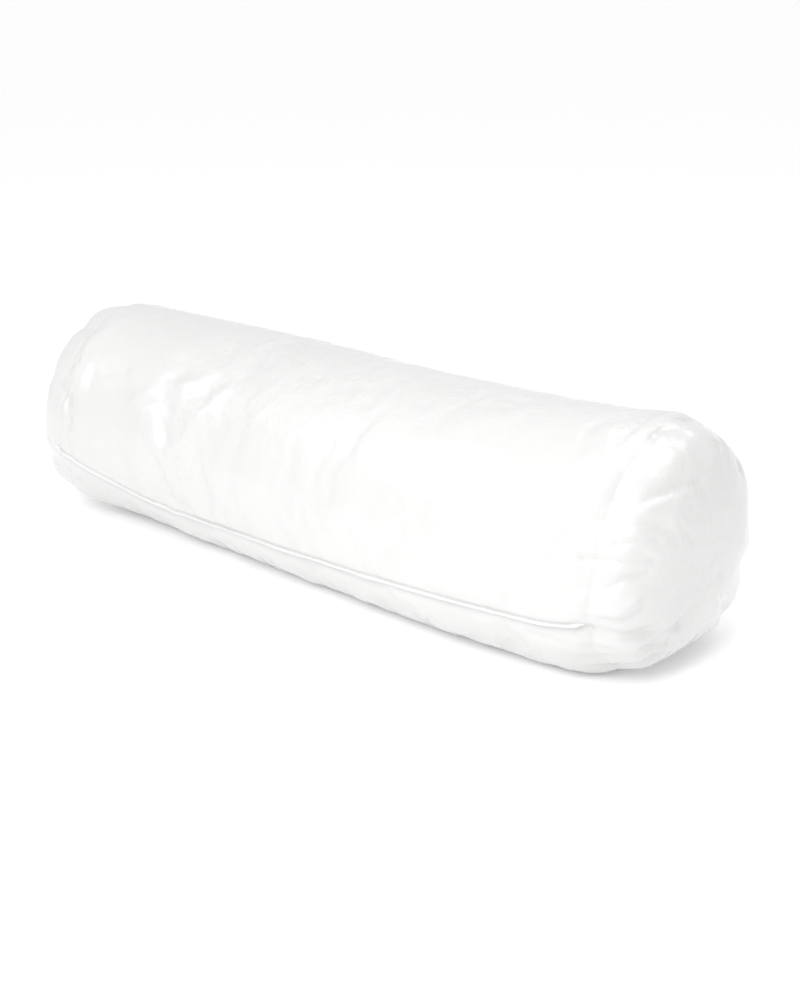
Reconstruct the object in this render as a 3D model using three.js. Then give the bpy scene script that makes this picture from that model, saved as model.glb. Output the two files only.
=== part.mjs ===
// A bolster insert: a tube of cloth, closed by one long seam, with a round panel sewn into each end
// and soft filling inside. It lies on its side, slumped and a little creased.
// Millimetres, +Z up. The length runs along X and the closing seam faces -Y. The origin is under
// the middle of the insert, on the surface that it rests on.

import * as THREE from "three";

// Driving dimensions
const LENGTH = 700; // over both bulging end panels
const WIDTH = 207; // of the widest section
const HEIGHT = 197; // of the tallest section
const LEFT_BULGE = 48; // how far each end panel stands out past its seam
const RIGHT_BULGE = 42;
const LEFT_FULLNESS = 3; // 2 for a round dome, more for a flat middle and a quick edge
const RIGHT_FULLNESS = 2.7;
const BELLY = 76; // height of the widest place of a section
const PANEL_MIDDLE = 90; // height of the end panels' middles
const PANEL_RADIUS = 100; // of cloth, from an end seam to the middle of its panel
const REST = 0.48; // half width of the flat rest, as a share of the section's half width
const REST_TURN = 60; // degrees below the belly where the flat rest begins

// Places on the cloth have two numbers. along is the distance in millimetres from the left end
// seam: 0 to TUBE on the tube, less on the left panel and more on the right one. turn is the
// angle in degrees around the section: 0 at the front, 90 on top, 180 at the back, 270 underneath.
const TUBE = LENGTH - LEFT_BULGE - RIGHT_BULGE;
const LEFT_SEAM = LEFT_BULGE - LENGTH / 2;
const MM_PER_DEGREE = 1.8; // of cloth, around the section

// Sections of the tube. width and height: shares of WIDTH and HEIGHT. forward: how far the section
// bows to the front. lift: how far its underside stands off the surface. seam: height of the
// closing seam.
const SECTIONS = [
  { along: 0, width: 0.9, height: 0.97, forward: 4, lift: 9, seam: 70 },
  { along: 6, width: 0.912, height: 0.98, forward: 3.5, lift: 6, seam: 69 },
  { along: 18, width: 0.918, height: 0.985, forward: 2.5, lift: 2, seam: 65 },
  { along: 40, width: 0.92, height: 0.98, forward: 0, lift: 0, seam: 57 },
  { along: 150, width: 0.955, height: 0.97, forward: -5, lift: 0, seam: 40 },
  { along: 305, width: 0.98, height: 0.97, forward: 1.5, lift: 0, seam: 44 },
  { along: 460, width: 0.995, height: 0.98, forward: 8, lift: 0, seam: 51 },
  { along: 570, width: 1, height: 0.995, forward: 3, lift: 0, seam: 55 },
  { along: 592, width: 0.992, height: 0.998, forward: 1, lift: 2, seam: 57 },
  { along: 604, width: 0.978, height: 0.99, forward: -1, lift: 6, seam: 59 },
  { along: TUBE, width: 0.96, height: 0.98, forward: -2, lift: 9, seam: 60 },
];

// Folds that show from a step away, each a soft ridge or, with a height below 0, a trough along a
// straight line on the cloth. width: from its middle to where it has almost gone.
const FOLDS = [
  // The low front of the right end, where the cloth bunches up above the surface
  { fromAlong: 602, fromTurn: -11, toAlong: 638, toTurn: -24, width: 8, height: -4 },
  { fromAlong: 638, fromTurn: -24, toAlong: 656, toTurn: -52, width: 8, height: -3.5 },
  { fromAlong: 552, fromTurn: -21, toAlong: 598, toTurn: -22, width: 8, height: 2.5 },
  { fromAlong: 590, fromTurn: -28, toAlong: 636, toTurn: -37, width: 8, height: -4.5 },
  { fromAlong: 636, fromTurn: -37, toAlong: 645, toTurn: -58, width: 8, height: -3 },
  { fromAlong: 600, fromTurn: -17, toAlong: 640, toTurn: -31, width: 7, height: 2.5 },
  { fromAlong: 596, fromTurn: -40, toAlong: 628, toTurn: -50, width: 9, height: -4 },
  // Across the right end seam, from the front to the top
  { fromAlong: 598, fromTurn: -3, toAlong: 634, toTurn: 1, width: 8, height: 3 },
  { fromAlong: 584, fromTurn: 6, toAlong: 632, toTurn: 14, width: 8, height: -3 },
  { fromAlong: 578, fromTurn: 18, toAlong: 630, toTurn: 21, width: 9, height: -3.5 },
  { fromAlong: 590, fromTurn: 27, toAlong: 640, toTurn: 40, width: 9, height: -3 },
  { fromAlong: 612, fromTurn: 42, toAlong: 644, toTurn: 80, width: 9, height: -3 },
  { fromAlong: 584, fromTurn: 64, toAlong: 614, toTurn: 60, width: 10, height: -3 },
  { fromAlong: 600, fromTurn: 90, toAlong: 628, toTurn: 102, width: 9, height: 3 },
  { fromAlong: 606, fromTurn: 112, toAlong: 616, toTurn: 116, width: 9, height: -2 },
  { fromAlong: 616, fromTurn: 127, toAlong: 632, toTurn: 136, width: 10, height: -2 },
  // Across the right end seam, at the back
  { fromAlong: 590, fromTurn: 160, toAlong: 632, toTurn: 166, width: 14, height: -3 },
  { fromAlong: 586, fromTurn: 196, toAlong: 636, toTurn: 188, width: 14, height: -4 },
  { fromAlong: 598, fromTurn: 222, toAlong: 640, toTurn: 228, width: 14, height: -4 },
  // Across the left end seam, from the front to the top, with a full corner at the bottom
  { fromAlong: -36, fromTurn: -28, toAlong: 6, toTurn: -34, width: 26, height: 5 },
  { fromAlong: -14, fromTurn: -10, toAlong: 14, toTurn: -23, width: 8, height: -4 },
  { fromAlong: -18, fromTurn: 37, toAlong: 10, toTurn: 22, width: 9, height: -4.5 },
  { fromAlong: 10, fromTurn: 22, toAlong: 16, toTurn: 10, width: 8, height: -3 },
  { fromAlong: -10, fromTurn: 68, toAlong: 6, toTurn: 62, width: 9, height: -4 },
  { fromAlong: -22, fromTurn: 96, toAlong: 24, toTurn: 104, width: 14, height: -3 },
  // Across the left end seam, at the back
  { fromAlong: -26, fromTurn: 138, toAlong: 18, toTurn: 132, width: 14, height: -4 },
  { fromAlong: -20, fromTurn: 170, toAlong: 30, toTurn: 176, width: 14, height: -3 },
  { fromAlong: -24, fromTurn: 214, toAlong: 22, toTurn: 206, width: 14, height: -4 },
  // Full corners where the filling stands behind the ends of the tube
  { fromAlong: -16, fromTurn: 84, toAlong: 2, toTurn: 104, width: 26, height: 3 },
  { fromAlong: 606, fromTurn: 112, toAlong: 622, toTurn: 138, width: 26, height: 3 },
  { fromAlong: 636, fromTurn: 160, toAlong: 640, toTurn: 176, width: 20, height: 1.5 },
  // Dents and faint creases on the tube
  { fromAlong: 204, fromTurn: 52, toAlong: 190, toTurn: 6, width: 30, height: -4 },
  { fromAlong: 190, fromTurn: 6, toAlong: 162, toTurn: -14, width: 26, height: -3 },
  { fromAlong: 90, fromTurn: 40, toAlong: 150, toTurn: 30, width: 24, height: 2.5 },
  { fromAlong: 36, fromTurn: 35, toAlong: 70, toTurn: 44, width: 12, height: -2 },
  { fromAlong: 158, fromTurn: 66, toAlong: 182, toTurn: 80, width: 14, height: -2 },
  { fromAlong: 360, fromTurn: 62, toAlong: 440, toTurn: 74, width: 26, height: -2.5 },
  { fromAlong: 300, fromTurn: 150, toAlong: 380, toTurn: 128, width: 34, height: -4 },
  { fromAlong: 140, fromTurn: 176, toAlong: 190, toTurn: 150, width: 30, height: -3.5 },
  { fromAlong: 470, fromTurn: 190, toAlong: 520, toTurn: 160, width: 30, height: -3.5 },
];
const SEAM_PINCH = 2.5; // how deep an end seam draws the cloth in
const PINCH_WIDTH = 7; // from the end seam to where its pinch has almost gone
const FALL_OFF = 2; // how steeply a fold or pinch dies away over its width

// Rows of points: distances from an end seam over its panel, and over the tube to the even middle,
// where the rows are ROW_STEP apart
const PANEL_ROWS = [4, 10, 18, 29, 43, 60, 80, PANEL_RADIUS];
const TUBE_ROWS = [0, 4, 9, 16, 24, 33, 43, 55, 70, 88];
const ROW_STEP = 24;

// Section of the closing seam, from below to above: distance across and height of the cloth
const SEAM_SECTION = [
  { across: -9, raise: 0 },
  { across: -3.4, raise: -1.8 },
  { across: -1.4, raise: 1.6 },
  { across: 1.2, raise: 2.2 },
  { across: 3.8, raise: 0.2 },
  { across: 10, raise: 0 },
];
// Degrees between the columns of points on the creased front, and elsewhere above the rest
const FRONT_STEP = 3.5;
const BACK_STEP = 6.4;
const FRONT_END = 64; // degrees of turn where the creased front ends
const REST_COLUMNS = 4; // steps across the flat rest
// Columns within FOLLOW_FULLY degrees of the front run along the closing seam, and those past
// FOLLOW_NONE run straight.
const FOLLOW_FULLY = 20;
const FOLLOW_NONE = 55;

const { degToRad, radToDeg, clamp, lerp, euclideanModulo, smoothstep } = THREE.MathUtils;

// The same turn, between -180 and 180.
const signedTurn = (turn) => euclideanModulo(turn + 180, 360) - 180;

// A smooth curve through one column of the table of sections.
function sectionCurve(column) {
  const places = SECTIONS.map((row) => row.along);
  const values = SECTIONS.map((row) => row[column]);
  const curve = new THREE.CubicInterpolant(places, values, 1);
  return (along) => curve.evaluate(clamp(along, 0, TUBE))[0];
}

const widthAt = sectionCurve("width");
const heightAt = sectionCurve("height");
const forwardAt = sectionCurve("forward");
const liftAt = sectionCurve("lift");
const seamHeightAt = sectionCurve("seam");

// A point of the tube: the half ellipse over the top, a round corner down each side and the rest.
function tubePoint(along, turn) {
  const halfWidth = (WIDTH / 2) * widthAt(along);
  const top = HEIGHT * heightAt(along);
  const bottom = Math.max(0, liftAt(along));
  const side = Math.cos(degToRad(turn)) >= 0 ? -1 : 1;
  const climb = radToDeg(Math.asin(Math.sin(degToRad(turn))));
  let reach;
  let height;
  if (climb >= 0) {
    reach = halfWidth * Math.cos(degToRad(climb));
    height = lerp(BELLY, top, Math.sin(degToRad(climb)));
  } else if (climb > -REST_TURN) {
    const corner = degToRad((-climb / REST_TURN) * 90);
    reach = halfWidth * (REST + (1 - REST) * Math.cos(corner));
    height = lerp(BELLY, bottom, Math.sin(corner));
  } else {
    reach = (halfWidth * REST * (90 + climb)) / (90 - REST_TURN);
    height = bottom;
  }
  return new THREE.Vector3(LEFT_SEAM + along, side * reach - forwardAt(along), height);
}

// How far a place is from the middle of its end panel: 1 on the tube, 0 in the panel's middle.
function radiusAt(along) {
  const past = Math.max(-along, along - TUBE, 0);
  return Math.max(0, 1 - past / PANEL_RADIUS);
}

// A point of the cushion before it is creased. A panel's points draw in from its seam to its
// middle and bulge outwards.
function smoothPoint(along, turn) {
  const point = tubePoint(clamp(along, 0, TUBE), turn);
  const radius = radiusAt(along);
  if (radius === 1) return point;
  const onLeft = along < 0;
  const bulge = onLeft ? -LEFT_BULGE : RIGHT_BULGE;
  const fullness = onLeft ? LEFT_FULLNESS : RIGHT_FULLNESS;
  const middle = new THREE.Vector3(point.x, -forwardAt(along), PANEL_MIDDLE);
  point.lerpVectors(middle, point, radius);
  point.x += bulge * (1 - radius ** fullness) ** (1 / fullness);
  return point;
}

// The way the cloth faces at a place, from its slopes over a short step each way.
function outward(along, turn) {
  const step = 0.5;
  const lengthwise = smoothPoint(along + step, turn).sub(smoothPoint(along - step, turn));
  const around = smoothPoint(along, turn + step).sub(smoothPoint(along, turn - step));
  return lengthwise.cross(around).normalize();
}

// How much the end seams and the folds raise the cloth at a place, or draw it in.
function foldRaise(along, turn) {
  const toSeam = Math.min(Math.abs(along), Math.abs(along - TUBE));
  const degree = MM_PER_DEGREE * radiusAt(along);
  let raise = -SEAM_PINCH * Math.exp(-FALL_OFF * (toSeam / PINCH_WIDTH) ** 2);
  for (const fold of FOLDS) {
    const middleTurn = (fold.fromTurn + fold.toTurn) / 2;
    const nearTurn = middleTurn + signedTurn(turn - middleTurn);
    const start = new THREE.Vector3(fold.fromAlong, fold.fromTurn * degree, 0);
    const end = new THREE.Vector3(fold.toAlong, fold.toTurn * degree, 0);
    const place = new THREE.Vector3(along, nearTurn * degree, 0);
    const nearest = new THREE.Line3(start, end).closestPointToPoint(place, true, new THREE.Vector3());
    raise += fold.height * Math.exp(-FALL_OFF * (place.distanceTo(nearest) / fold.width) ** 2);
  }
  return raise;
}

// The turn at which the closing seam runs, from its height at that distance along the tube.
function seamTurn(along) {
  const drop = 1 - seamHeightAt(along) / BELLY;
  return (-radToDeg(Math.asin(drop)) * REST_TURN) / 90;
}

// Columns of points around the section: the closing seam's own, then even steps over the top and
// down the back, wide steps on the flat rest, and even steps up to the seam again. turn is where a
// column runs at the middle of the tube, and raise is the height of the closing seam there.
function columns() {
  const seam = seamTurn(TUBE / 2);
  const own = SEAM_SECTION.map(({ across, raise }) => ({ turn: seam + across / MM_PER_DEGREE, raise }));
  const first = own[own.length - 1].turn;
  const last = 360 + own[0].turn;
  const backRest = 180 + REST_TURN;
  const frontRest = 360 - REST_TURN;
  const steps = (from, to, count) =>
    Array.from({ length: count }, (_, n) => ({ turn: lerp(from, to, (n + 1) / count), raise: 0 }));
  return [
    ...own,
    ...steps(first, FRONT_END, Math.round((FRONT_END - first) / FRONT_STEP)),
    ...steps(FRONT_END, backRest, Math.round((backRest - FRONT_END) / BACK_STEP)),
    ...steps(backRest, frontRest, REST_COLUMNS),
    ...steps(frontRest, last, Math.round((last - frontRest) / FRONT_STEP)).slice(0, -1),
  ];
}

// A column's turn at a distance along the tube: it follows the closing seam where it is near it.
function columnTurn(column, along) {
  const away = Math.abs(signedTurn(column.turn));
  const follow = 1 - smoothstep(away, FOLLOW_FULLY, FOLLOW_NONE);
  return column.turn + follow * (seamTurn(along) - seamTurn(TUBE / 2));
}

// Rows of points from the middle of the right panel to the middle of the left one.
function rows() {
  const shoulder = TUBE_ROWS[TUBE_ROWS.length - 1];
  const steps = Math.round((TUBE - 2 * shoulder) / ROW_STEP);
  const between = (n) => lerp(TUBE - shoulder, shoulder, (n + 1) / steps);
  const middle = Array.from({ length: steps - 1 }, (_, n) => between(n));
  return [
    ...PANEL_ROWS.map((past) => TUBE + past).reverse(),
    ...TUBE_ROWS.map((inside) => TUBE - inside),
    ...middle,
    ...[...TUBE_ROWS].reverse(),
    ...PANEL_ROWS.map((past) => -past),
  ];
}

// The cushion: a lathe's closed grid of points, each moved to its own place on the cushion.
function cushionGeometry() {
  const lengthwise = rows();
  const around = columns();
  const profile = lengthwise.map((along, n) => new THREE.Vector2(radiusAt(along), n));
  const geometry = new THREE.LatheGeometry(profile, around.length);
  const points = geometry.getAttribute("position");
  for (let n = 0; n < points.count; n += 1) {
    const along = lengthwise[n % lengthwise.length];
    const column = around[Math.floor(n / lengthwise.length) % around.length];
    const onTube = clamp(along, 0, TUBE);
    const turn = columnTurn(column, onTube);
    const point = smoothPoint(along, turn);
    if (radiusAt(along) > 0) {
      const seamRaise = along === onTube ? column.raise : 0;
      point.addScaledVector(outward(along, turn), seamRaise + foldRaise(along, turn));
    }
    point.z = Math.max(0, point.z);
    points.setXYZ(n, point.x, point.y, point.z);
  }
  return geometry;
}

// Moves the cushion so that the origin is under its middle, on the surface.
function centred(geometry) {
  geometry.computeBoundingBox();
  const middle = geometry.boundingBox.getCenter(new THREE.Vector3());
  return geometry.translate(-middle.x, -middle.y, -geometry.boundingBox.min.z);
}

const cloth = new THREE.MeshStandardMaterial({ color: 0xf4f4f2, roughness: 0.45, metalness: 0 });
const cushion = new THREE.Mesh(centred(cushionGeometry()), cloth);
cushion.name = "bolster_insert";

const group = new THREE.Group();
group.add(cushion);

export default group;
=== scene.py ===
# %% [markdown]
# Bolster insert
# A bolster insert is a sewn cloth tube with a round panel at each end, filled until it is plump.
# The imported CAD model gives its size, its place and its main folds. Here the same cushion gets
# its real cloth: a fine mesh, a cloth simulation that puffs and puckers it between its seams,
# the seams themselves with their stitches, and a woven white finish.

# %% Load the frame
from math import cos, pi, radians, sin

import bpy
import numpy as np
from mathutils import Matrix, Vector, noise
from mathutils.bvhtree import BVHTree


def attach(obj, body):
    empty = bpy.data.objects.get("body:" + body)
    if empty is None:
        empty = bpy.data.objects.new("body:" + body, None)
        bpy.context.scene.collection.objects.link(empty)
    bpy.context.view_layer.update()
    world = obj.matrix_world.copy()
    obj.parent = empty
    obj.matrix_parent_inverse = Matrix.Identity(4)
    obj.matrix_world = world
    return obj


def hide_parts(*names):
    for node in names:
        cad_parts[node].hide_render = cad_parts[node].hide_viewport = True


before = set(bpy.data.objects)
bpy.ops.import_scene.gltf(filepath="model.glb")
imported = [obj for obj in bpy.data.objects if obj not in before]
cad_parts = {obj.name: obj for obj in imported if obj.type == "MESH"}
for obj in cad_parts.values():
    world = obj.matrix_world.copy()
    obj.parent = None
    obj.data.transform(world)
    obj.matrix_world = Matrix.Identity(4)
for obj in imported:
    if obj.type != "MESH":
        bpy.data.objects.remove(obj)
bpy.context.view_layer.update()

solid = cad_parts["bolster_insert"]

# %% [markdown]
# Camera
# The photograph looks down a little at the front, from the side of the right end. The focal
# length is given as a share of the picture's long side, because that side is what the sensor's
# width is laid along in an upright picture.

# %% Camera
MM = 0.001
PITCH = radians(19.27)  # how far the camera looks down
AZIMUTH = radians(40.9)  # how far it stands round from the front towards the right end
EYE = Vector((1003.8, -1107.4, 585.1)) * MM
FOCAL_SHARE = 1.8
SENSOR = 36.0

bpy.ops.object.camera_add(location=EYE, rotation=(pi / 2 - PITCH, 0, AZIMUTH))
camera = bpy.context.object
camera.name = "camera"
camera.data.sensor_width = SENSOR
camera.data.lens = FOCAL_SHARE * SENSOR
camera.data.clip_start = 0.05
bpy.context.scene.camera = camera
print("lens", round(camera.data.lens, 1), "mm")

# %% [markdown]
# Guide surface
# The CAD solid has the right size and the main folds, but its faces are wide. A smoothed copy of
# it serves as a guide: its doubles are merged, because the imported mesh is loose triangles, and a
# subdivision rounds it. It is never shown. New points find their place by looking outwards from
# the middle of the cushion until they meet it.

# %% Guide surface
MERGE = 0.01 * MM  # points this close are one point
NEARLY_FLAT = radians(60)  # two triangles that bend less than this become one face
GUIDE_LEVELS = 2


def only(piece):
    """Makes a piece the one selected and active object."""
    bpy.ops.object.select_all(action="DESELECT")
    piece.select_set(True)
    bpy.context.view_layer.objects.active = piece


def apply_modifier(piece, kind, **settings):
    """Adds a modifier with these settings and applies it."""
    only(piece)
    modifier = piece.modifiers.new(kind.lower(), kind)
    for name, value in settings.items():
        setattr(modifier, name, value)
    bpy.ops.object.modifier_apply(modifier=modifier.name)


guide = bpy.data.objects.new("guide", solid.data.copy())
bpy.context.scene.collection.objects.link(guide)
only(guide)
bpy.ops.object.mode_set(mode="EDIT")
bpy.ops.mesh.select_all(action="SELECT")
bpy.ops.mesh.remove_doubles(threshold=MERGE)
bpy.ops.mesh.tris_convert_to_quads(face_threshold=NEARLY_FLAT, shape_threshold=NEARLY_FLAT)
bpy.ops.object.mode_set(mode="OBJECT")
apply_modifier(guide, "SUBSURF", levels=GUIDE_LEVELS, render_levels=GUIDE_LEVELS)


def rays_on(piece):
    """A search tree that rays can be cast on."""
    points = [v.co.copy() for v in piece.data.vertices]
    return BVHTree.FromPolygons(points, [tuple(f.vertices) for f in piece.data.polygons])


surface = rays_on(guide)
print("guide faces:", len(guide.data.polygons))

# %% [markdown]
# Places on the cloth
# Two numbers name a place on the cloth. along runs from one end seam to the other, and on over
# the end panels. turn goes round the section: 0 at the front, 90 on top, 180 at the back.
# Seams, puckers and weave follow these numbers, so they are kept with every point.

# %% Places on the cloth
LEFT_SEAM = -301.5 * MM
RIGHT_SEAM = 308.5 * MM
TUBE = RIGHT_SEAM - LEFT_SEAM
PANEL = 100 * MM  # from an end seam to the middle of its panel, over the cloth
CORE_HEIGHT = 88 * MM  # of the line that the sections turn about
AXIS_PLACES = 25
FAR = 1.0  # metres, well outside the cushion


def axis_side(x):
    """Y of the middle of the section at x, halfway between its front and its back."""
    front, *_ = surface.ray_cast(Vector((x, -FAR, CORE_HEIGHT)), Vector((0, 1, 0)))
    back, *_ = surface.ray_cast(Vector((x, FAR, CORE_HEIGHT)), Vector((0, -1, 0)))
    return (front.y + back.y) / 2


AXIS_X = np.linspace(LEFT_SEAM, RIGHT_SEAM, AXIS_PLACES)
AXIS_Y = np.array([axis_side(x) for x in AXIS_X])


def surface_place(along, turn):
    """The point of the guide surface at a place on the cloth."""
    x = min(max(LEFT_SEAM + along, LEFT_SEAM), RIGHT_SEAM)
    past = max(-along, along - TUBE, 0) / PANEL
    lean = min(past, 1) * pi / 2 * (-1 if along < 0 else 1)
    way = Vector((sin(lean), -cos(lean) * cos(turn), cos(lean) * sin(turn)))
    start = Vector((x, float(np.interp(x, AXIS_X, AXIS_Y)), CORE_HEIGHT))
    point, *_ = surface.ray_cast(start, way)
    return point


# %% [markdown]
# The cloth's grid
# A sphere already has the right net of points: rings from pole to pole and columns round them.
# Each ring becomes one section of the cushion. First comes the place of every ring, counted from
# the middle of the left panel: rings are closest at the end seams, where the cloth is gathered.

# %% The cloth's grid
COLUMNS = 144
RING_ZONES = [  # length of cloth and its number of rings, from a panel's middle to the tube's
    {"length": 52 * MM, "rings": 7},
    {"length": 30 * MM, "rings": 8},
    {"length": 18 * MM, "rings": 7},
    {"length": 18 * MM, "rings": 7},
    {"length": 34 * MM, "rings": 9},
    {"length": TUBE / 2 - 52 * MM, "rings": 46},
]
half = [0.0]
for zone in RING_ZONES:
    half += [half[-1] + zone["length"] * (n + 1) / zone["rings"] for n in range(zone["rings"])]
whole = half[-1] * 2
ring_places = np.array(half + [whole - place for place in reversed(half[:-1])]) - PANEL
RINGS = len(ring_places) - 1
print(RINGS, "rings, at the closest", round(float(np.diff(ring_places).min()) / MM, 1), "mm apart")

# %% [markdown]
# Laying the net on the guide
# The sphere is turned so that its poles lie in the middles of the two end panels, and every point
# is put where its ring and its column meet the guide. Blender makes a sphere's edges and faces in
# another order each time, and a simulation depends on that order, so they are sorted first.

# %% Laying the net on the guide
def sort_net(piece):
    """Puts the piece's edges and faces in one fixed order, each face from its first point on."""
    points = [v.co[:] for v in piece.data.vertices]
    edges = sorted(tuple(sorted(e.vertices)) for e in piece.data.edges)
    faces = []
    for face in piece.data.polygons:
        corners = list(face.vertices)
        first = corners.index(min(corners))
        faces.append(tuple(corners[first:] + corners[:first]))
    piece.data.clear_geometry()
    piece.data.from_pydata(points, edges, sorted(faces))


bpy.ops.object.select_all(action="DESELECT")
bpy.ops.mesh.primitive_uv_sphere_add(segments=COLUMNS, ring_count=RINGS, radius=1, rotation=(0, pi / 2, 0))
cushion = bpy.context.object
cushion.name = "cushion_cloth"
bpy.ops.object.transform_apply(location=False, rotation=True, scale=False)
sort_net(cushion)

ball = np.array([v.co for v in cushion.data.vertices])
ring_of = np.rint(np.arccos(np.clip(-ball[:, 0], -1, 1)) / pi * RINGS).astype(int)
along_of = ring_places[ring_of]
turn_of = np.arctan2(ball[:, 2], -ball[:, 1])
for vertex, along, turn in zip(cushion.data.vertices, along_of, turn_of):
    vertex.co = surface_place(along, turn)
print("grid:", len(cushion.data.vertices), "points in", RINGS, "rings of", COLUMNS)

# %% [markdown]
# Where the seams run
# The tube meets its panels at the two end seams. One more seam closes the tube along its length,
# low on the front, and at the left end it runs on over the edge of the panel. Its height is read
# off the photograph at a few places. Most of what follows asks how far a point is from a seam.

# %% Where the seams run
SEAM_START = -16 * MM
SEAM_ROWS = [  # height of the closing seam above the surface, by distance along the tube
    {"along": SEAM_START, "height": 75 * MM},
    {"along": 0 * MM, "height": 70 * MM},
    {"along": 18 * MM, "height": 65 * MM},
    {"along": 40 * MM, "height": 57 * MM},
    {"along": 95 * MM, "height": 46 * MM},
    {"along": 150 * MM, "height": 40 * MM},
    {"along": 305 * MM, "height": 44 * MM},
    {"along": 460 * MM, "height": 51 * MM},
    {"along": 570 * MM, "height": 55 * MM},
    {"along": 610 * MM, "height": 60 * MM},
]
FRONT = 40 * MM  # cloth further than this before the middle belongs to the front


def points_of(piece):
    """The piece's points as an array, a row for each."""
    flat = np.empty(len(piece.data.vertices) * 3)
    piece.data.vertices.foreach_get("co", flat)
    return flat.reshape(-1, 3)


def set_points(piece, points):
    """Moves the piece's points to the rows of the array."""
    piece.data.vertices.foreach_set("co", np.ascontiguousarray(points).ravel())
    piece.data.update()


def seam_height(along):
    """Height of the closing seam at a distance along the tube."""
    return np.interp(along, [r["along"] for r in SEAM_ROWS], [r["height"] for r in SEAM_ROWS])


def above_closing_seam(points, along):
    """How far each point of the front lies above the closing seam, and far away for the others."""
    above = points[:, 2] - seam_height(along)
    middle = np.interp(points[:, 0], AXIS_X, AXIS_Y)
    at_front = (points[:, 1] < middle - FRONT) & (along > SEAM_START) & (along < TUBE + 1 * MM)
    return np.where(at_front, above, FAR)


def from_end_seam(along):
    """Distance over the cloth from the nearer end seam."""
    return np.minimum(np.abs(along), np.abs(along - TUBE))


def by_end(along, numbers):
    """For each place, the number that belongs to the nearer end."""
    return np.where(along < TUBE / 2, numbers["left"], numbers["right"])


at_rest = points_of(cushion)
to_seam = np.minimum(from_end_seam(along_of), np.abs(above_closing_seam(at_rest, along_of)))
print("points within 5 mm of a seam:", int((to_seam < 5 * MM).sum()))

# %% [markdown]
# Puffing the cloth
# On the real insert the filling pushes the cloth out, the seams hold it back, and the spare
# cloth between them buckles into small soft puckers. The cloth simulation does the same: the
# seams and the flat underside are pinned, a pressure pushes from inside, and the cloth is let out
# by a hundredth or so, which gives it something to pucker with.

# %% Puffing the cloth
LET_OUT = 0.014  # spare cloth, as a share of its length
PRESSURE = 7.0
FRAMES = 18
PIN_REACH = 2.5 * MM  # cloth this close to a seam is held by it
LEAST_HOLD = 0.02
RESTING = 1 * MM  # cloth lower than this rests on the surface

hold = np.exp(-((to_seam / PIN_REACH) ** 2))
hold[at_rest[:, 2] < RESTING] = 1.0
held = cushion.vertex_groups.new(name="held")
for index in np.flatnonzero(hold > LEAST_HOLD):
    held.add([int(index)], float(hold[index]), "REPLACE")

only(cushion)
cloth = cushion.modifiers.new("cloth", "CLOTH")
rules = cloth.settings
rules.quality = 6
rules.mass = 0.2
rules.tension_stiffness = 30
rules.compression_stiffness = 30
rules.shear_stiffness = 10
rules.bending_stiffness = 0.15
rules.use_pressure = True
rules.uniform_pressure_force = PRESSURE
rules.shrink_min = -LET_OUT
rules.vertex_group_mass = held.name
rules.effector_weights.gravity = 0
cloth.collision_settings.use_collision = False
cloth.point_cache.frame_end = FRAMES
for frame_number in range(1, FRAMES + 1):
    bpy.context.scene.frame_set(frame_number)
bpy.ops.object.modifier_apply(modifier=cloth.name)

moved = points_of(cushion) - at_rest
print("moved by up to", round(float(np.linalg.norm(moved, axis=1).max()) / MM, 1), "mm")

# %% [markdown]
# Keeping the size
# The pressure also swells the whole cushion, which the CAD solid has already allowed for. Averaging
# each move with its neighbours many times leaves just that swelling, and most of it is taken back.
# A cap holds every point near its place. The left end is the tighter one: it has fewer puckers
# beside its seam, and the quiet stretch is longer there. The panels' middles stay smooth.

# %% Keeping the size
BROAD_ROUNDS = 60  # rounds of averaging that leave only the broad swelling
TAKEN_BACK = 0.7  # share of the broad swelling that is undone
CAP = 5.5 * MM  # the furthest that a point may end up from its place
SEAM_QUIETS = {"left": 1.0, "right": 0.75}  # how much less the cloth puckers beside an end seam
SEAM_REACHES = {"left": 55 * MM, "right": 26 * MM}
PANEL_QUIET = 15 * MM  # no puckers this close to a panel's middle
PANEL_FREE = 60 * MM  # and over this length they come in


def broad_part(values, links, rounds):
    """What is left of the values when each point is averaged with its neighbours many times."""
    ends = np.concatenate([links, links[:, ::-1]])
    neighbours = np.bincount(ends[:, 0], minlength=len(values))[:, None]
    for _ in range(rounds):
        sums = [np.bincount(ends[:, 0], column[ends[:, 1]], len(values)) for column in values.T]
        values = (values + np.stack(sums, axis=1) / neighbours) / 2
    return values


edges = np.array([e.vertices[:] for e in cushion.data.edges])
moved -= TAKEN_BACK * broad_part(moved, edges, BROAD_ROUNDS)
to_middle = PANEL + np.minimum(along_of, TUBE - along_of)  # from the middle of the nearer panel
near_seam = np.exp(-((from_end_seam(along_of) / by_end(along_of, SEAM_REACHES)) ** 2))
free = 1 - by_end(along_of, SEAM_QUIETS) * near_seam
free *= np.clip((to_middle - PANEL_QUIET) / PANEL_FREE, 0, 1) ** 2
moved *= free[:, None]
far = np.linalg.norm(moved, axis=1)[:, None]
settled = at_rest + moved * CAP * np.tanh(far / CAP) / np.maximum(far, 1e-9)
settled[:, 2] = np.maximum(settled[:, 2], 0)
set_points(cushion, settled)
print("largest pucker", round(float(far.max()) / MM, 1), "mm, capped near", round(CAP / MM, 1), "mm")

# %% [markdown]
# Finer cloth
# One subdivision rounds the net off. The places along and round the cloth are stored on the
# points first, so that the new points get theirs as well. The turn is stored as its sine and
# cosine, because an angle jumps where it comes full circle.

# %% Finer cloth
def store(piece, name, values):
    """Keeps one number for each point of the piece."""
    piece.data.attributes.new(name, "FLOAT", "POINT").data.foreach_set("value", values)


def stored(piece, name):
    """The numbers kept under this name."""
    values = np.empty(len(piece.data.vertices))
    piece.data.attributes[name].data.foreach_get("value", values)
    return values


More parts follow.
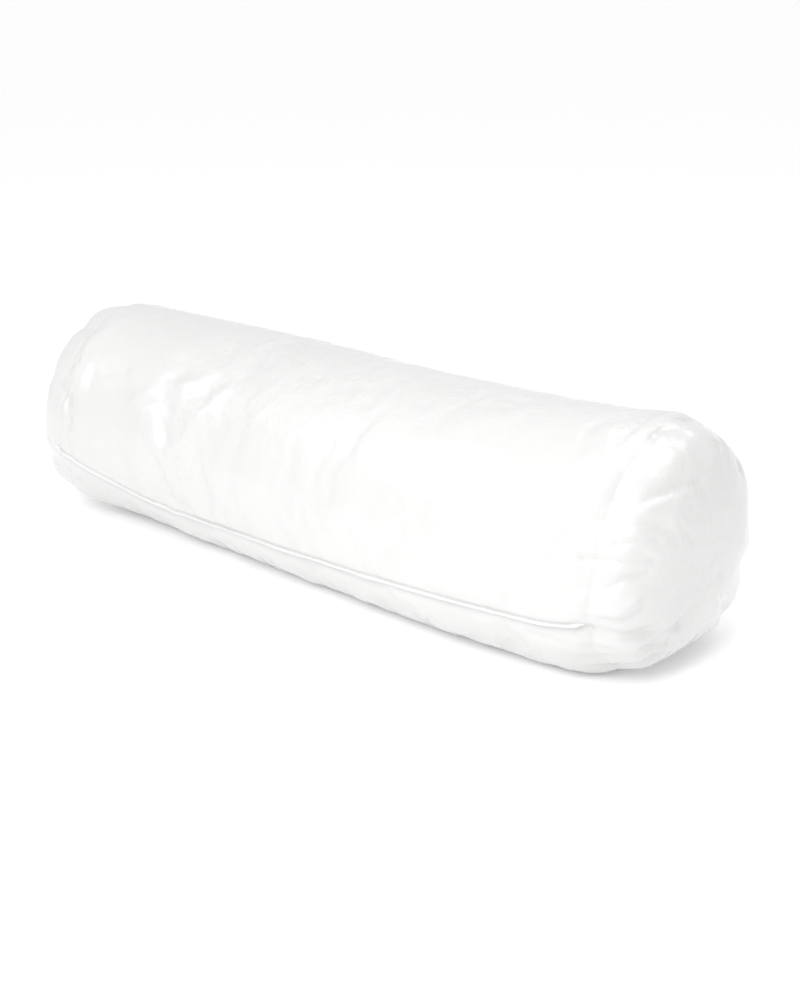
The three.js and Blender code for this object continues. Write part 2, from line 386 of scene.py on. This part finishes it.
store(cushion, "along", along_of)
store(cushion, "turn_cos", np.cos(turn_of))
store(cushion, "turn_sin", np.sin(turn_of))
apply_modifier(cushion, "SUBSURF", levels=1, render_levels=1)
along_of = stored(cushion, "along")
turn_of = np.arctan2(stored(cushion, "turn_sin"), stored(cushion, "turn_cos"))
print("cushion:", len(cushion.data.polygons) * 2, "triangles")

# %% [markdown]
# Gathers and grooves at the seams
# The tube's edge is a little longer than the panel's, so the seam eases it in: cloth on both
# sides of an end seam stands in small uneven gathers, which die away within a few centimetres.
# They are taller at the right end than at the tight left one. The thread pulls the seam itself
# into a groove. The closing seam has two layers folded together, so the cloth is drawn in under
# it and rides up in small waves above it.

# %% Gathers and grooves at the seams
RADIUS = 100 * MM
GATHER_WIDTH = 13 * MM  # from one gather to the next
GATHER_HEIGHTS = {"left": 0.25 * MM, "right": 0.7 * MM}
GATHER_PEAK = 6 * MM  # how far from the seam they are tallest
GATHER_REACH = 26 * MM  # how far from the seam they run
TALLEST = 1.4  # times the height
SEAM_FILLS = {"left": 0.4 * MM, "right": 1.5 * MM}  # how far the filling rounds the cloth out there
FILL_WIDTH = 7 * MM
GROOVE_DEPTH = 0.8 * MM
GROOVE_WIDTH = 1.8 * MM
SEAM_WAVE = 24 * MM
SEAM_WAVE_HEIGHT = 0.6 * MM
WAVE_REACH = 14 * MM
TUCK_UNDER = 1.3 * MM  # how far the cloth under the closing seam is drawn in
TUCK_WIDTH = 4 * MM


def normals_of(piece):
    """The outward direction at each point of the piece."""
    flat = np.empty(len(piece.data.vertices) * 3)
    piece.data.vertex_normals.foreach_get("vector", flat)
    return flat.reshape(-1, 3)


def uneven(rows):
    """Smooth noise between -1 and 1 at each row of three numbers, always the same."""
    return np.array([noise.noise(Vector(row)) for row in rows])


round_cos = np.cos(turn_of) * RADIUS
round_sin = np.sin(turn_of) * RADIUS
to_end = from_end_seam(along_of)
gather = np.abs(uneven(np.stack([
    round_cos / GATHER_WIDTH, round_sin / GATHER_WIDTH, along_of / (4 * GATHER_WIDTH)
], axis=1)))
rise = to_end / GATHER_PEAK
gather_size = rise * np.exp(1 - rise) + np.exp(-to_end / GATHER_REACH)
gather *= np.clip(gather_size, 0, TALLEST) * np.exp(-((to_end / GATHER_REACH) ** 2))
push = by_end(along_of, GATHER_HEIGHTS) * gather
push += by_end(along_of, SEAM_FILLS) * np.exp(-((to_end / FILL_WIDTH) ** 2))
push -= GROOVE_DEPTH * np.exp(-((to_end / GROOVE_WIDTH) ** 2))

points = points_of(cushion)
above = above_closing_seam(points, along_of)
slice_of = np.full_like(above, 7)  # this noise has a slice of its own
wave = uneven(np.stack([along_of / SEAM_WAVE, above / (3 * SEAM_WAVE), slice_of], axis=1))
push += SEAM_WAVE_HEIGHT * wave * np.exp(-((above / WAVE_REACH) ** 2))
push -= TUCK_UNDER * np.exp(-(((above + TUCK_WIDTH) / TUCK_WIDTH) ** 2))

points += normals_of(cushion) * push[:, None]
points[:, 2] = np.maximum(points[:, 2], 0)
set_points(cushion, points)
print("gathers push out by up to", round(float(push.max()) / MM, 1), "mm")

# %% [markdown]
# Broad moves
# A filled cushion leans into its own weight. The left end curls up a little from the surface, and
# the right end sags outwards low at the front. Each move carries the cloth round one place by a
# few millimetres and fades with distance, like proportional editing by hand.

# %% Broad moves
BROAD_MOVES = [  # place, move in mm, and how far it reaches in mm
    # The left end curves up from the ground, which leaves a dark gap under it
    {"at": (-8, -55), "move": (0, 3, 5), "reach": 45},
    {"at": (45, -50), "move": (0, 3, 4), "reach": 45},
    {"at": (100, -50), "move": (0, 2, 2), "reach": 40},
    {"at": (-20, 33), "move": (-2.5, -1, 0), "reach": 14},
    # The right end sags outwards low at the front and tucks in at the back
    {"at": (640, -70), "move": (2, -2, 0), "reach": 30},
    {"at": (642, -150), "move": (-4, -2, 0), "reach": 30},
]

points = points_of(cushion)
for row in BROAD_MOVES:
    middle = np.array(surface_place(row["at"][0] * MM, radians(row["at"][1])))
    near = np.exp(-((np.linalg.norm(points - middle, axis=1) / (row["reach"] * MM)) ** 2))
    points += near[:, None] * np.array(row["move"]) * MM
set_points(cushion, points)
print(len(BROAD_MOVES), "broad moves")

# %% [markdown]
# Creases
# Where the cloth was folded or pulled it keeps sharp lines, sharper than the broad folds of the
# CAD solid. Each crease is a line of places on the cloth. Points near it are pushed out or in,
# steeply at the line and fading fast, like a fold that a thumb could trace.

# %% Creases
CREASE_FALL = 1.3  # less than 2 makes a sharp line
CREASES = [  # lines of (along in mm, turn in degrees), height and width in mm
    # Wrinkles across the right end seam
    {"line": [(625, 46), (632, 58), (639, 80)], "height": -2.2, "width": 3.5},
    {"line": [(627, 42), (634, 53), (641, 72)], "height": 1.5, "width": 4},
    {"line": [(619, 22), (627, 26), (638, 31)], "height": -2.0, "width": 3},
    {"line": [(604, 19), (618, 18), (626, 20)], "height": 1.2, "width": 4},
    {"line": [(602, 13), (622, 15), (638, 19)], "height": -2.2, "width": 3},
    {"line": [(608, 8), (622, 9), (634, 13)], "height": 1.6, "width": 3.5},
    {"line": [(620, 3), (627, 8), (636, 10)], "height": -2.0, "width": 2.8},
    {"line": [(617, -9), (624, -10), (633, -4)], "height": 2.2, "width": 3},
    {"line": [(617, -13), (626, -14), (636, -9)], "height": -1.6, "width": 3},
    {"line": [(618, -20), (628, -24), (639, -33), (650, -54)], "height": -2.0, "width": 3.5},
    {"line": [(560, -25), (605, -27), (618, -29), (632, -37), (641, -59)], "height": -2.0, "width": 3},
    {"line": [(556, -22), (605, -23), (618, -25), (632, -32)], "height": 1.0, "width": 3.5},
    {"line": [(617, -45), (630, -49), (637, -63)], "height": -2.6, "width": 3.5},
    {"line": [(582, -9), (592, -2), (612, 1)], "height": -1.2, "width": 8},
    {"line": [(615, 66), (611, 77)], "height": -1.6, "width": 2.5},
    {"line": [(607, 78), (615, 90), (610, 102)], "height": -1.8, "width": 3},
    {"line": [(613, 90), (623, 92), (628, 107)], "height": 1.8, "width": 3.5},
    {"line": [(626, 124), (633, 134)], "height": -1.6, "width": 3.5},
    # The left end, where the seam turns out of sight
    {"line": [(-22, 74), (1, 58), (8, 43)], "height": -1.2, "width": 3},
    {"line": [(8, 43), (-8, 30)], "height": -1.3, "width": 3},
    {"line": [(-12, 29), (5, 21), (14, 8)], "height": -1.5, "width": 3},
    {"line": [(14, 8), (13, -4), (18, -12)], "height": -1.4, "width": 4},
    {"line": [(-17, -25), (-1, -28), (22, -32)], "height": -1.8, "width": 4},
    {"line": [(43, 36), (72, 43)], "height": -0.8, "width": 2.5},
    # The crushed patch on the left of the front
    {"line": [(100, 29), (124, 37), (163, 44), (175, 53)], "height": 3.0, "width": 8},
    {"line": [(112, 26), (140, 31), (168, 38)], "height": -1.0, "width": 3.5},
    {"line": [(126, 24), (131, 14)], "height": 0.9, "width": 7},
    {"line": [(112, 11), (140, 5), (169, 14), (180, 28), (198, 45)], "height": 3.2, "width": 9},
    {"line": [(150, 4), (152, -10), (161, -16)], "height": 2.0, "width": 6},
    {"line": [(184, 16), (174, -6), (162, -23)], "height": -2.0, "width": 8},
    {"line": [(168, 62), (192, 85)], "height": -1.2, "width": 5},
    {"line": [(374, 86), (394, 61)], "height": 1.2, "width": 4},
    {"line": [(214, 66), (236, 30), (232, -4)], "height": -1.4, "width": 8},
    # The back, which the photograph doesn't show: soft folds that start at the end seams
    {"line": [(4, 132), (38, 141), (84, 139)], "height": -1.4, "width": 6},
    {"line": [(3, 166), (30, 171), (58, 180)], "height": -1.5, "width": 5},
    {"line": [(2, 205), (34, 200), (75, 206)], "height": 1.4, "width": 6},
    {"line": [(607, 143), (570, 150), (528, 148)], "height": -1.4, "width": 6},
    {"line": [(607, 186), (578, 182), (545, 190)], "height": 1.4, "width": 5},
    {"line": [(606, 215), (560, 208), (522, 214)], "height": -1.3, "width": 6},
    {"line": [(250, 150), (282, 172), (290, 205)], "height": -1.1, "width": 9},
    {"line": [(402, 140), (388, 168), (410, 196)], "height": 1.1, "width": 9},
]


def to_line(points, line):
    """Distance of each point from the line through the corners."""
    nearest = np.full(len(points), FAR)
    for start, end in zip(line[:-1], line[1:]):
        step = end - start
        share = np.clip((points - start) @ step / (step @ step), 0, 1)
        nearest = np.minimum(nearest, np.linalg.norm(points - start - share[:, None] * step, axis=1))
    return nearest


points = points_of(cushion)
push = np.zeros(len(points))
for crease in CREASES:
    line = np.array([surface_place(along * MM, radians(turn)) for along, turn in crease["line"]])
    far = to_line(points, line) / (crease["width"] * MM)
    push += crease["height"] * MM * np.exp(-(far ** CREASE_FALL))
points += normals_of(cushion) * push[:, None]
points[:, 2] = np.maximum(points[:, 2], 0)
set_points(cushion, points)
lowest, highest = float(push.min()) / MM, float(push.max()) / MM
print(len(CREASES), "creases, from", round(lowest, 1), "to", round(highest, 1), "mm")

# %% [markdown]
# Crumple
# The cloth is tight and pressed smooth between rollers, so it is stiff for its thickness. Where
# it isn't stretched it breaks into small flat facets with sharp edges, most of all where it has
# been crushed by a hand. Folded noise gives those edges: it has creases where smooth noise would
# cross zero. A list of crushed places and a slow noise decide where the cloth is crumpled, and
# that is kept with every point, because the finish needs it too.

# %% Crumple
CRUMPLE = [  # size of the facets and height of their edges
    {"size": 46 * MM, "height": 2.0 * MM},
    {"size": 22 * MM, "height": 1.8 * MM},
    {"size": 12 * MM, "height": 0.9 * MM},
]
FACET_BEND = 0.3  # how far the facets wander, as a share of their size
FACET_MIDDLE = 0.25  # of folded noise, so that facets go in as well as out
PATCH = 110 * MM  # size of the patches that chance has crumpled
ANYWHERE = 0.3  # how crumpled the cloth is on the whole
BY_CHANCE = 0.5
BY_HAND = 0.8
LEFT_CALM = 0.7  # how much less the tight left end is crumpled
LEFT_REACH = 45 * MM
LEAST, MOST = 0.12, 1
CRUSHED = [  # places (along in mm, turn in degrees) and how far the crushing reaches in mm
    ((162, 29), 18), ((188, 40), 20), ((156, -5), 20), ((252, 34), 26),
    ((276, -8), 24), ((272, 61), 32), ((340, 66), 28), ((418, 76), 32), ((490, 80), 28), ((591, 73), 20),
]

points = points_of(cushion)
patch = uneven(points / PATCH + 3.7)
where = ANYWHERE + BY_CHANCE * patch
for (along, turn), reach in CRUSHED:
    middle = np.array(surface_place(along * MM, radians(turn)))
    where += BY_HAND * np.exp(-((np.linalg.norm(points - middle, axis=1) / (reach * MM)) ** 2))
where *= 1 - LEFT_CALM * np.exp(-((along_of / LEFT_REACH) ** 2))
where = np.clip(where, LEAST, MOST)
push = np.zeros(len(points))
for layer in CRUMPLE:
    bent = points + FACET_BEND * layer["size"] * np.stack([patch, -patch, patch], axis=1)
    push += layer["height"] * (FACET_MIDDLE - np.abs(uneven(bent / layer["size"])))
points += normals_of(cushion) * (push * where)[:, None]
points[:, 2] = np.maximum(points[:, 2], 0)
set_points(cushion, points)
store(cushion, "crumpled", where)
print("crumple from", round(float(push.min()) / MM, 2), "to", round(float(push.max()) / MM, 2), "mm")

# %% [markdown]
# Closing seam
# The tube is closed along its length by one seam, low on the front. Its two raw edges are turned
# in and sewn together, which leaves a narrow lip that stands up from the cloth and sags a little.
# It starts as a flat grid along the seam, gets its thickness by Solidify and its soft edge by a
# subdivision.

# %% Closing seam
LIP_STEPS = 300
LIP_HEIGHT = 2.6 * MM  # how far it stands out of the cloth
LIP_ROOT = 1.4 * MM  # how far it reaches into the cloth
LIP_THICKNESS = 1.1 * MM
LIP_ENDS = 10 * MM  # it fades away over this length at both ends
LEAST_LIP = 0.1  # what is left of it there
LIP_ROWS = 3
LEAN = 0.35  # how much lower its edge hangs than its root, as a share of its height
SAG_LENGTH = 35 * MM  # from one sagging stretch to the next
PLACE_ROUNDS = 3  # rounds of smoothing for the seam's places
WAY_ROUNDS = 12  # and for its way out of the cloth

cloth_surface = rays_on(cushion)


def seam_place(along):
    """The point of the cloth on the closing seam, and the way out of the cloth there."""
    x = LEFT_SEAM + along
    side = float(np.interp(x, AXIS_X, AXIS_Y))
    height = float(seam_height(along))
    point, normal, *_ = cloth_surface.ray_cast(Vector((x, side - FAR, height)), Vector((0, 1, 0)))
    return point, normal


def smooth_row(rows, rounds):
    """Averages each row with its two neighbours a number of times."""
    for _ in range(rounds):
        rows[1:-1] = (rows[:-2] + 2 * rows[1:-1] + rows[2:]) / 4
    return rows


seam_along = np.linspace(SEAM_START, TUBE - 1 * MM, LIP_STEPS + 1)
found = [seam_place(along) for along in seam_along]
seam_points = smooth_row(np.array([point for point, _ in found]), PLACE_ROUNDS)
seam_out = smooth_row(np.array([normal for _, normal in found]), WAY_ROUNDS)
seam_out /= np.linalg.norm(seam_out, axis=1)[:, None]

bpy.ops.object.select_all(action="DESELECT")
bpy.ops.mesh.primitive_grid_add(x_subdivisions=LIP_STEPS, y_subdivisions=LIP_ROWS, size=2)
lip = bpy.context.object
lip.name = "closing_seam"
places = points_of(lip)
step_of = np.rint((places[:, 0] + 1) / 2 * LIP_STEPS).astype(int)
share = (places[:, 1] + 1) / 2
to_ends = np.minimum(seam_along - SEAM_START, TUBE - seam_along)
fade = np.clip(to_ends / LIP_ENDS, LEAST_LIP, 1)[step_of]
sag = uneven([(along / SAG_LENGTH, 0, 2) for along in seam_along])[step_of]
reach = -LIP_ROOT + (LIP_HEIGHT + LIP_ROOT) * share
lean = LEAN + LEAN * sag
places = seam_points[step_of] + seam_out[step_of] * (reach * fade - LIP_ROOT * (1 - fade))[:, None]
places[:, 2] -= lean * np.maximum(reach, 0) * fade
set_points(lip, places)
apply_modifier(lip, "SOLIDIFY", thickness=LIP_THICKNESS, offset=0)
apply_modifier(lip, "SUBSURF", levels=1, render_levels=1)
bpy.ops.object.mode_set(mode="EDIT")
bpy.ops.mesh.select_all(action="SELECT")
bpy.ops.mesh.normals_make_consistent(inside=False)
bpy.ops.object.mode_set(mode="OBJECT")
print("lip:", len(lip.data.polygons) * 2, "triangles")

# %% [markdown]
# Stitches
# A lockstitch runs through the lip close to its root. Each stitch is a short piece of thread that
# dips into the cloth at both ends. One stitch is made from a small cylinder and repeated along
# the seam as one mesh, so the hundreds of them stay light.

# %% Stitches
STITCH_PITCH = 3.0 * MM
STITCH_LENGTH = 2.5 * MM
THREAD = 0.22 * MM  # radius of the thread
THREAD_SIDES = 6
ROUNDING = 0.6  # of a stitch's ends, as a share of the radius
STITCH_LINE = 0.35  # how far up the lip the stitches run, as a share of its height
THREAD_PROUD = 0.2  # how far the thread's middle stands off the lip, as a share of its radius

bpy.ops.object.select_all(action="DESELECT")
bpy.ops.mesh.primitive_cylinder_add(
    vertices=THREAD_SIDES, radius=THREAD, depth=STITCH_LENGTH, rotation=(0, pi / 2, 0)
)
stitch = bpy.context.object
bpy.ops.object.transform_apply(location=False, rotation=True, scale=False)
bpy.ops.object.mode_set(mode="EDIT")
bpy.ops.mesh.select_all(action="SELECT")
bpy.ops.mesh.bevel(offset=THREAD * ROUNDING, segments=1)
bpy.ops.object.mode_set(mode="OBJECT")

copies = []
for along in np.arange(2 * MM, TUBE - LIP_ENDS - 2 * MM, STITCH_PITCH):
    at, ahead, out = (
        Vector([np.interp(place, seam_along, column) for column in rows.T])
        for place, rows in [(along, seam_points), (along + 1 * MM, seam_points), (along, seam_out)]
    )
    ahead = (ahead - at).normalized()
    up = ahead.cross(out).normalized()
    up *= 1 if up.z > 0 else -1
    at += out * LIP_HEIGHT * STITCH_LINE + up * (LIP_THICKNESS / 2 + THREAD * THREAD_PROUD)
    turned = Matrix((ahead, up.cross(ahead), up)).transposed().to_4x4()
    twin = bpy.data.objects.new("stitch", stitch.data.copy())
    twin.matrix_world = Matrix.Translation(at) @ turned
    bpy.context.scene.collection.objects.link(twin)
    copies.append(twin)
bpy.data.objects.remove(stitch)

bpy.ops.object.select_all(action="DESELECT")
for twin in copies:
    twin.select_set(True)
bpy.context.view_layer.objects.active = copies[0]
bpy.ops.object.join()
stitches = bpy.context.object
stitches.name = "seam_stitches"
bpy.ops.object.transform_apply(location=True, rotation=True, scale=True)
print("stitches:", len(copies))

# %% [markdown]
# Thread directions
# The weave follows the cloth as it was cut: along and round the tube, and straight across each
# panel. A UV map holds these places in metres, so that a thread has its real width everywhere.
# On the tube a face that passes the back, where the turn comes full circle, is unrolled first.

# %% Thread directions
loops = np.empty(len(cushion.data.loops), dtype=int)
cushion.data.loops.foreach_get("vertex_index", loops)
starts = np.empty(len(cushion.data.polygons), dtype=int)
sizes = np.empty(len(cushion.data.polygons), dtype=int)
cushion.data.polygons.foreach_get("loop_start", starts)
cushion.data.polygons.foreach_get("loop_total", sizes)
first = np.repeat(loops[starts], sizes)

points = points_of(cushion)
middle_along = np.add.reduceat(along_of[loops], starts) / sizes
on_tube = np.repeat((middle_along > 0) & (middle_along < TUBE), sizes)
unrolled = (turn_of[loops] - turn_of[first] + pi) % (2 * pi) - pi + turn_of[first]
across_tube = np.stack([along_of[loops], unrolled * RADIUS], axis=1)
across_panel = points[loops][:, 1:]
places = np.where(on_tube[:, None], across_tube, across_panel)
cushion.data.uv_layers.new(name="threads").data.foreach_set("uv", places.ravel())
print("UV map in metres, from", places.min(axis=0).round(3), "to", places.max(axis=0).round(3))

# %% [markdown]
# Building materials
# A material is a small graph of nodes. These helpers add one node or one step of arithmetic each,
# so that the finishes below read like recipes. Noise reads the piece's own space, so that it stays
# on the piece wherever the piece is used.

# %% Building materials
def new_material(name):
    """A material with its node tree and its shader."""
    material = bpy.data.materials.new(name)
    material.use_nodes = True
    return material, material.node_tree, material.node_tree.nodes["Principled BSDF"]


def add_node(tree, kind, inputs=None, **settings):
    """A node with its settings, and its inputs set to numbers or linked to other outputs."""
    node = tree.nodes.new("ShaderNode" + kind)
    for name, value in settings.items():
        setattr(node, name, value)
    for name, value in (inputs or {}).items():
        if isinstance(value, bpy.types.NodeSocket):
            tree.links.new(value, node.inputs[name])
        else:
            node.inputs[name].default_value = value
    return node


def reckon(tree, operation, *values):
    """One step of arithmetic on outputs or numbers."""
    return add_node(tree, "Math", dict(enumerate(values)), operation=operation).outputs[0]


def noise_texture(tree, size, detail=2.0, **settings):
    """Noise in the piece's own space, with features of about this size."""
    here = add_node(tree, "TexCoord").outputs["Object"]
    inputs = {"Vector": here, "Scale": 1 / size, "Detail": detail}
    return add_node(tree, "TexNoise", inputs, **settings).outputs["Fac"]


# %% [markdown]
# Relief of the cloth
# The relief is too fine for the mesh, so it goes into the material as bump. Folded noise gives
# crinkles with sharp valleys. The weave is plain: each thread goes over one and under the next,
# which two rows of waves give when a chequerboard decides which of them is on top.

# %% Relief of the cloth
THREAD_PITCH = 0.42 * MM
CRINKLE = 11 * MM


def folded_noise(tree, size, detail):
    """Noise with sharp valleys where smooth noise would cross its middle."""
    return reckon(
        tree, "ABSOLUTE", reckon(tree, "SUBTRACT", noise_texture(tree, size, detail), 0.5)
    )


def between(tree, value, low, high, to_low, to_high):
    """Spreads the values from low to high over another range."""
    inputs = {"Value": value, "From Min": low, "From Max": high, "To Min": to_low, "To Max": to_high}
    return add_node(tree, "MapRange", inputs).outputs[0]


def woven(tree, pitch):
    """Height of a plain weave, from 0 in its gaps to 1 on top of its threads."""
    place = add_node(tree, "UVMap", uv_map="threads").outputs[0]
    parts = add_node(tree, "SeparateXYZ", {0: place}).outputs
    along = reckon(tree, "DIVIDE", parts[0], pitch)
    across = reckon(tree, "DIVIDE", parts[1], pitch)
    cells = reckon(tree, "ADD", reckon(tree, "FLOOR", along), reckon(tree, "FLOOR", across))
    over = reckon(tree, "FLOORED_MODULO", cells, 2.0)
    warp = reckon(tree, "ABSOLUTE", reckon(tree, "SINE", reckon(tree, "MULTIPLY", along, pi)))
    weft = reckon(tree, "ABSOLUTE", reckon(tree, "SINE", reckon(tree, "MULTIPLY", across, pi)))
    under = reckon(tree, "SUBTRACT", 1.0, over)
    return reckon(
        tree, "ADD", reckon(tree, "MULTIPLY", warp, over), reckon(tree, "MULTIPLY", weft, under)
    )


def relief(tree, height, distance, below=None):
    """A bump of this height in metres, on top of another bump."""
    inputs = {"Strength": 1.0, "Distance": distance, "Height": height}
    if below is not None:
        inputs["Normal"] = below
    return add_node(tree, "Bump", inputs).outputs[0]


print("threads every", THREAD_PITCH / MM, "mm, crinkles about", CRINKLE / MM, "mm wide")

# %% [markdown]
# White cloth
# A bolster insert is made of plain-woven white cotton so tight that no filling comes through. Its
# face is pressed smooth, which gives it a soft gloss: a clear coat over a matt cloth. Crinkles a
# few millimetres wide show where the cloth is crumpled. Gloss changes slowly where the pressing
# wore off. Colour is nearly even, as on any bleached cloth. The folded lip and the thread are
# of cotton too. Their colour is painted a little lighter than the cloth, a painted highlight that makes
# the seam show as a thin bright line.

# %% White cloth
NOISE_LOW, NOISE_HIGH = 0.3, 0.7  # noise seldom leaves this range
PRESSED, WORN = -0.04, 0.1  # how much smoother or rougher the face is in places
SHADED = 0.975  # the darker tone of the cloth, as a share of the lighter one


def cloth_finish(name, colour, gloss):
    """Pressed cotton of this colour and roughness, with uneven tone and gloss."""
    material, tree, shader = new_material(name)
    worn = noise_texture(tree, 90 * MM)
    shade = between(tree, noise_texture(tree, 45 * MM, 4.0), NOISE_LOW, NOISE_HIGH, 0.0, 1.0)
    darker = [part * SHADED for part in colour[:3]] + [1]
    tones = add_node(tree, "MixRGB", {"Fac": shade, "Color1": colour, "Color2": darker})
    tree.links.new(tones.outputs[0], shader.inputs["Base Color"])
    roughness = between(tree, worn, NOISE_LOW, NOISE_HIGH, gloss + PRESSED, gloss + WORN)
    tree.links.new(roughness, shader.inputs["Roughness"])
    shader.inputs["Specular IOR Level"].default_value = 0.6
    shader.inputs["Sheen Weight"].default_value = 0.05
    shader.inputs["Sheen Roughness"].default_value = 0.4
    shader.inputs["Coat Weight"].default_value = 1.0
    shader.inputs["Coat Roughness"].default_value = 0.13
    return material, tree, shader


pressed_cotton, tree, shader = cloth_finish("pressed_cotton", (0.65, 0.65, 0.645, 1), 0.36)
crumpled = add_node(tree, "Attribute", attribute_name="crumpled").outputs["Fac"]
crinkles = reckon(tree, "ADD", folded_noise(tree, CRINKLE, 2.0), folded_noise(tree, CRINKLE / 2, 1.0))
crinkled = relief(tree, reckon(tree, "MULTIPLY", crinkles, crumpled), 1.0 * MM)
threads = relief(tree, woven(tree, THREAD_PITCH), 0.03 * MM, crinkled)
tree.links.new(threads, shader.inputs["Normal"])
cushion.data.materials.append(pressed_cotton)

# The lip's lighter colour is a painted highlight along the seam, on top of the light that its raised edge
# really catches.
lip_cloth, tree, shader = cloth_finish("folded_edge_painted_highlight", (0.7, 0.7, 0.695, 1), 0.38)
tree.links.new(relief(tree, noise_texture(tree, 4 * MM, 3.0), 0.3 * MM), shader.inputs["Normal"])
lip.data.materials.append(lip_cloth)

# The thread's lighter colour is painted highlight too.
thread, tree, shader = cloth_finish("sewing_thread_painted_highlight", (0.78, 0.78, 0.765, 1), 0.36)
tree.links.new(relief(tree, noise_texture(tree, 0.4 * MM), 0.06 * MM), shader.inputs["Normal"])
stitches.data.materials.append(thread)

for piece in (cushion, lip, stitches):
    only(piece)
    bpy.ops.object.shade_smooth()
print("materials:", [m.name for m in bpy.data.materials])

# %% [markdown]
# Floor
# The photograph is a bright studio picture on pure white. The ground is like a sheet of white
# acrylic lit from below: it glows a little, so it stays white while the cushion keeps its greys
# and its soft contact shadow. It is stage and not part of the object.

# %% Floor
bpy.ops.mesh.primitive_plane_add(size=60)
ground = bpy.context.object
ground.name = "ground"
white_ground, tree, shader = new_material("white_ground")
shader.inputs["Base Color"].default_value = (0.93, 0.93, 0.93, 1)
shader.inputs["Emission Color"].default_value = (1, 1, 1, 1)
shader.inputs["Emission Strength"].default_value = 0.14
shader.inputs["Roughness"].default_value = 0.7
shader.inputs["Specular IOR Level"].default_value = 0.2
ground.data.materials.append(white_ground)
print("ground:", [round(v, 1) for v in ground.dimensions], "m")

# %% [markdown]
# Light
# Light comes from all round. The key light stands close to the right end, which burns out that
# side and leaves the left one grey. Two softboxes on the left show as gloss in the crumpled cloth,
# and one above brightens the top edge. The plain view transform keeps white as white.

# %% Light
world = bpy.data.worlds.new("studio")
world.use_nodes = True
world.node_tree.nodes["Background"].inputs["Color"].default_value = (1, 1, 1, 1)
world.node_tree.nodes["Background"].inputs["Strength"].default_value = 0.9
bpy.context.scene.world = world

LIGHTS = [  # name, place, the point that it faces, width and height, watts
    ("key_softbox", (0.45, -0.95, 0.75), (0.2, -0.05, 0.12), (0.5, 0.5), 5),
    ("gloss_softbox", (-0.52, -1.05, 0.9), (0.15, 0, 0.12), (0.9, 0.7), 3),
    ("side_softbox", (-1.0, -0.6, 1.0), (0.1, 0, 0.12), (0.8, 0.8), 0.4),
    ("top_softbox", (0.4, 0.12, 1.1), (0.25, 0.05, 0.1), (0.8, 0.8), 2.3),
]
for name, place, aim, size, watts in LIGHTS:
    bpy.ops.object.light_add(type="AREA", location=place)
    lamp = bpy.context.object
    lamp.name = name
    lamp.data.energy = watts
    lamp.data.shape = "RECTANGLE"
    lamp.data.size, lamp.data.size_y = size
    lamp.rotation_euler = (Vector(aim) - Vector(place)).to_track_quat("-Z", "Y").to_euler()

scene = bpy.context.scene
scene.view_settings.view_transform = "Standard"
scene.view_settings.look = "None"
print("softboxes:", len(LIGHTS))

# %% [markdown]
# Place in the frame The guide has done its work and goes. The cloth takes the place of the CAD
# solid and rides with its body.

# %% Place in the frame
bpy.data.objects.remove(guide)
for piece in (cushion, lip, stitches):
    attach(piece, "root")
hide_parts("bolster_insert")
